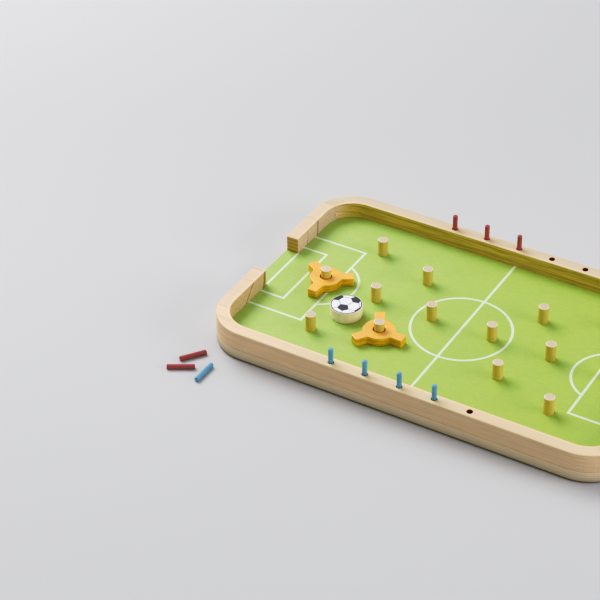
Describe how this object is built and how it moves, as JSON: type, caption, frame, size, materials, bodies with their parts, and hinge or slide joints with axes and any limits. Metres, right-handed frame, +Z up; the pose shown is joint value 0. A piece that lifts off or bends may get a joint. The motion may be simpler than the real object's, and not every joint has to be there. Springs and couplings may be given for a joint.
{
  "type": "tabletop football game",
  "caption": "Tabletop football board: rounded wooden tray with a goal mouth at each end, printed pitch, upright posts, turning spinners, a puck and lift-out score pegs.",
  "frame": {"origin": "centre of the board at the level of the table, on the underside of the centre foot pad", "axes": "+X along the board, from the goal with the spinner in front of it to the other goal; +Y across the board towards the rail that holds the red score pegs; +Z up"},
  "size_m": [0.4956, 0.3535, 0.054],
  "materials": {
    "base_plywood": "satin lacquer on plywood",
    "pitch_print": "matt green print with white lines",
    "rail_wood": "satin lacquer on pale solid wood",
    "post_wood": "bare dowel",
    "spinner_paint": "satin orange paint",
    "puck_wood": "bare wood with a black and white printed face",
    "red_peg_paint": "satin red paint",
    "blue_peg_paint": "satin blue paint",
    "foot_pad": "matt"
  },
  "bodies": {
    "board": {"base_board": "base_plywood", "pitch_panel": "pitch_print", "rail_back": "rail_wood", "rail_front": "rail_wood", "end_block_right_back": "rail_wood", "end_block_left_back": "rail_wood", "end_block_left_front": "rail_wood", "end_block_right_front": "rail_wood", "post_01": "post_wood", "post_02": "post_wood", "post_03": "post_wood", "post_04": "post_wood", "post_05": "post_wood", "post_06": "post_wood", "post_07": "post_wood", "post_08": "post_wood", "post_09": "post_wood", "post_10": "post_wood", "post_11": "post_wood", "post_12": "post_wood", "post_13": "post_wood", "post_14": "post_wood", "foot_pad_centre": "foot_pad", "foot_pad_back_right": "foot_pad", "foot_pad_back_left": "foot_pad", "foot_pad_front_left": "foot_pad", "foot_pad_front_right": "foot_pad"},
    "spinner_left": {"spinner_left": "spinner_paint"},
    "spinner_centre": {"spinner_centre": "spinner_paint"},
    "puck": {"puck": "puck_wood"},
    "score_peg_red_1": {"score_peg_red_1": "red_peg_paint"},
    "score_peg_red_2": {"score_peg_red_2": "red_peg_paint"},
    "score_peg_red_3": {"score_peg_red_3": "red_peg_paint"},
    "score_peg_red_4": {"score_peg_red_4": "red_peg_paint"},
    "score_peg_red_5": {"score_peg_red_5": "red_peg_paint"},
    "score_peg_blue_1": {"score_peg_blue_1": "blue_peg_paint"},
    "score_peg_blue_2": {"score_peg_blue_2": "blue_peg_paint"},
    "score_peg_blue_3": {"score_peg_blue_3": "blue_peg_paint"},
    "score_peg_blue_4": {"score_peg_blue_4": "blue_peg_paint"},
    "score_peg_blue_5": {"score_peg_blue_5": "blue_peg_paint"}
  },
  "joints": [
    {"name": "spinner_left_turn", "type": "hinge", "parent": "board", "child": "spinner_left", "pos_m": [-0.17, 0, 0.0215], "axis": [0, 0, 1], "continuous": true},
    {"name": "spinner_centre_turn", "type": "hinge", "parent": "board", "child": "spinner_centre", "pos_m": [-0.071, -0.0562, 0.0215], "axis": [0, 0, 1], "continuous": true},
    {"name": "puck_slide", "type": "slide", "parent": "board", "child": "puck", "axis": [-0.9397, -0.342, 0], "range_m": [-0.002, 0.092]},
    {"name": "score_peg_red_1_lift", "type": "slide", "parent": "board", "child": "score_peg_red_1", "axis": [0, 0, 1], "range_m": [0, 0.02]},
    {"name": "score_peg_red_2_lift", "type": "slide", "parent": "board", "child": "score_peg_red_2", "axis": [0, 0, 1], "range_m": [0, 0.02]},
    {"name": "score_peg_red_3_lift", "type": "slide", "parent": "board", "child": "score_peg_red_3", "axis": [0, 0, 1], "range_m": [0, 0.02]},
    {"name": "score_peg_red_4_lift", "type": "slide", "parent": "board", "child": "score_peg_red_4", "axis": [0, 0, 1], "range_m": [0, 0.03]},
    {"name": "score_peg_red_5_lift", "type": "slide", "parent": "board", "child": "score_peg_red_5", "axis": [0, 0, 1], "range_m": [0, 0.03]},
    {"name": "score_peg_blue_1_lift", "type": "slide", "parent": "board", "child": "score_peg_blue_1", "axis": [0, 0, 1], "range_m": [0, 0.02]},
    {"name": "score_peg_blue_2_lift", "type": "slide", "parent": "board", "child": "score_peg_blue_2", "axis": [0, 0, 1], "range_m": [0, 0.02]},
    {"name": "score_peg_blue_3_lift", "type": "slide", "parent": "board", "child": "score_peg_blue_3", "axis": [0, 0, 1], "range_m": [0, 0.02]},
    {"name": "score_peg_blue_4_lift", "type": "slide", "parent": "board", "child": "score_peg_blue_4", "axis": [0, 0, 1], "range_m": [0, 0.02]},
    {"name": "score_peg_blue_5_lift", "type": "slide", "parent": "board", "child": "score_peg_blue_5", "axis": [0, 0, 1], "range_m": [0, 0.03]}
  ]
}
